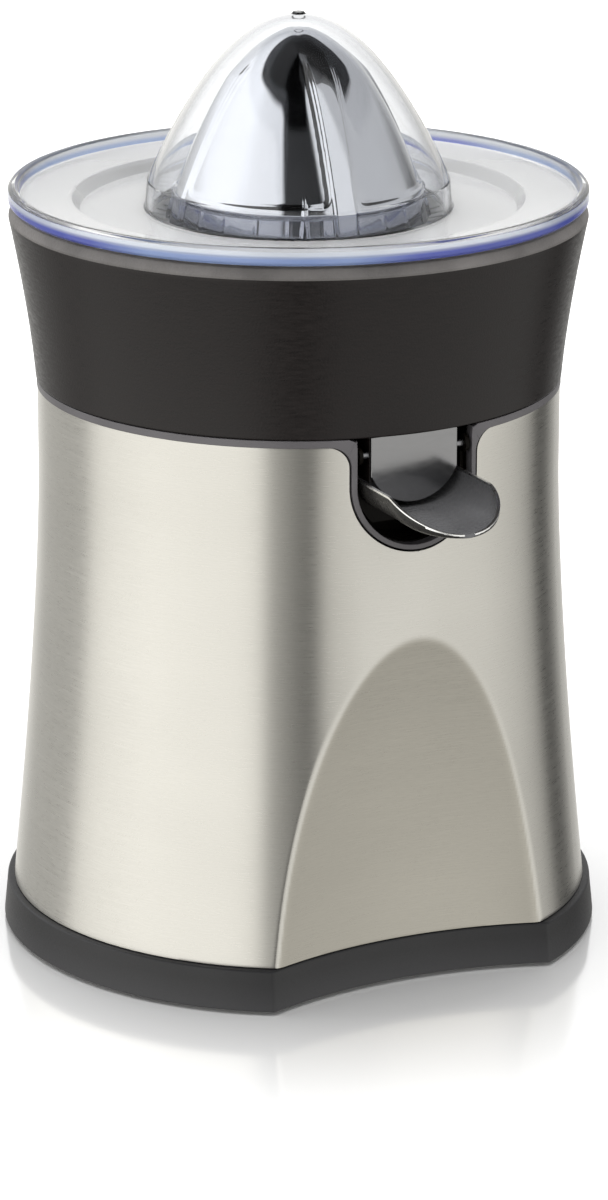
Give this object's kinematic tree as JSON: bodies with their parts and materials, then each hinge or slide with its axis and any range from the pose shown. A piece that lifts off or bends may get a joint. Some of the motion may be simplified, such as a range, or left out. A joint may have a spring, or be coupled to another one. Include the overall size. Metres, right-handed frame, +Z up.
{
  "type": "citrus press juicer",
  "caption": "Electric citrus press: brushed steel body with an arched front recess, tilting steel spout, juice collector, sieve, ribbed chrome cone and clear domed cover.",
  "frame": {"origin": "middle of the round footprint, on the sole of the middle rubber foot, on the drive shaft's axis", "axes": "+Z up along the drive shaft, -Y towards the front where the spout is, +X to the right when seen from behind"},
  "size_m": [0.1698, 0.1892, 0.2623],
  "materials": {
    "base_plastic": "matte, fine texture",
    "inner_plastic": "matte",
    "collar_plastic": "fine textured, satin",
    "trim_plastic": "satin",
    "steel_sheet": "brushed round the body",
    "polished_steel": "polished",
    "sieve_steel": "satin",
    "cone_chrome": "mirror",
    "clear_plastic": "clear, glossy",
    "rubber_black": "matte",
    "silicone": "matte",
    "nylon": "satin",
    "glass_nylon": "satin",
    "bearing_bronze": "satin",
    "zinc_steel": "zinc plated",
    "ground_steel": "ground",
    "lamination_steel": "oiled laminations",
    "copper_winding": "enamelled",
    "die_cast": "as cast",
    "post_alloy": "drawn",
    "lead_pvc": "smooth"
  },
  "bodies": {
    "root": {"base_skirt": "base_plastic", "bottom_plate": "base_plastic", "rubber_feet": "rubber_black", "base_screws": "zinc_steel", "cord_gland": "rubber_black", "terminal_block": "nylon", "steel_shell": "steel_sheet", "spout_trim": "trim_plastic", "deck": "inner_plastic", "deck_screws": "zinc_steel", "lower_posts": "post_alloy", "upper_posts": "post_alloy", "gear_deck": "glass_nylon", "gearbox_cover": "glass_nylon", "gearbox_screws": "zinc_steel", "shaft_bush_upper": "bearing_bronze", "shaft_bush_lower": "bearing_bronze", "shaft_seal": "silicone", "idler_pin": "ground_steel", "return_spring": "zinc_steel", "motor_stator": "lamination_steel", "motor_coil": "copper_winding", "motor_bracket_top": "die_cast", "motor_bracket_bottom": "die_cast", "motor_bearings": "bearing_bronze", "motor_spacers": "rubber_black", "motor_screws": "zinc_steel", "switch_body": "inner_plastic", "switch_screws": "zinc_steel", "internal_leads": "lead_pvc"},
    "thrust": {"thrust_cup": "nylon"},
    "shaft": {"drive_shaft": "ground_steel", "output_gear": "nylon", "shaft_clip": "zinc_steel"},
    "idler": {"idler_gear": "nylon"},
    "rotor": {"rotor_core": "lamination_steel", "rotor_shaft": "ground_steel", "motor_pinion": "bearing_bronze", "cooling_fan": "glass_nylon"},
    "switch": {"switch_lever": "ground_steel"},
    "collector": {"juice_collector": "collar_plastic", "collector_seal": "silicone", "outlet_tongue": "polished_steel", "spout_pins": "ground_steel"},
    "spout": {"spout_carrier": "inner_plastic", "spout_scoop": "polished_steel"},
    "sieve": {"pulp_sieve": "sieve_steel"},
    "cone": {"cone_hub": "inner_plastic", "press_cone": "cone_chrome"},
    "cover": {"dust_cover": "clear_plastic"}
  },
  "joints": [
    {"name": "press", "type": "slide", "parent": "root", "child": "thrust", "axis": [0, 0, 1], "range_m": [-0.0025, 0], "stiffness_N_per_m": 3000, "springref_m": 0.006, "deforming": ["return_spring"]},
    {"name": "shaft_spin", "type": "hinge", "parent": "thrust", "child": "shaft", "pos_m": [0, 0, 0.15], "axis": [0, 0, 1], "continuous": true},
    {"name": "idler_spin", "type": "hinge", "parent": "root", "child": "idler", "pos_m": [0, 0.036, 0.115], "axis": [0, 0, 1], "continuous": true},
    {"name": "rotor_spin", "type": "hinge", "parent": "root", "child": "rotor", "pos_m": [0.02212, 0.02051, 0.06], "axis": [0, 0, 1], "continuous": true},
    {"name": "switch_tilt", "type": "hinge", "parent": "root", "child": "switch", "pos_m": [-0.0356, 0, 0.089], "axis": [0, 1, 0], "range_deg": [0, 6.5]},
    {"name": "cover_lift", "type": "slide", "parent": "root", "child": "cover", "axis": [0, 0, 1], "range_m": [0, 0.28]},
    {"name": "cone_lift", "type": "slide", "parent": "shaft", "child": "cone", "axis": [0, 0, 1], "range_m": [0, 0.202]},
    {"name": "sieve_lift", "type": "slide", "parent": "root", "child": "sieve", "axis": [0, 0, 1], "range_m": [0, 0.141]},
    {"name": "collector_lift", "type": "slide", "parent": "root", "child": "collector", "axis": [0, 0, 1], "range_m": [0, 0.093]},
    {"name": "spout_tilt", "type": "hinge", "parent": "collector", "child": "spout", "pos_m": [0, -0.069, 0.155], "axis": [-1, 0, 0], "range_deg": [0, 22]}
  ],
  "couplings": [
    {"joint": "idler_spin", "follows": "shaft_spin", "ratio": -5},
    {"joint": "rotor_spin", "follows": "shaft_spin", "ratio": 25},
    {"joint": "switch_tilt", "follows": "press", "rad_per_m": -44.1},
    {"joint": "cone_lift", "follows": "cover_lift", "ratio": 0.72},
    {"joint": "sieve_lift", "follows": "cover_lift", "ratio": 0.5},
    {"joint": "collector_lift", "follows": "cover_lift", "ratio": 0.33}
  ]
}
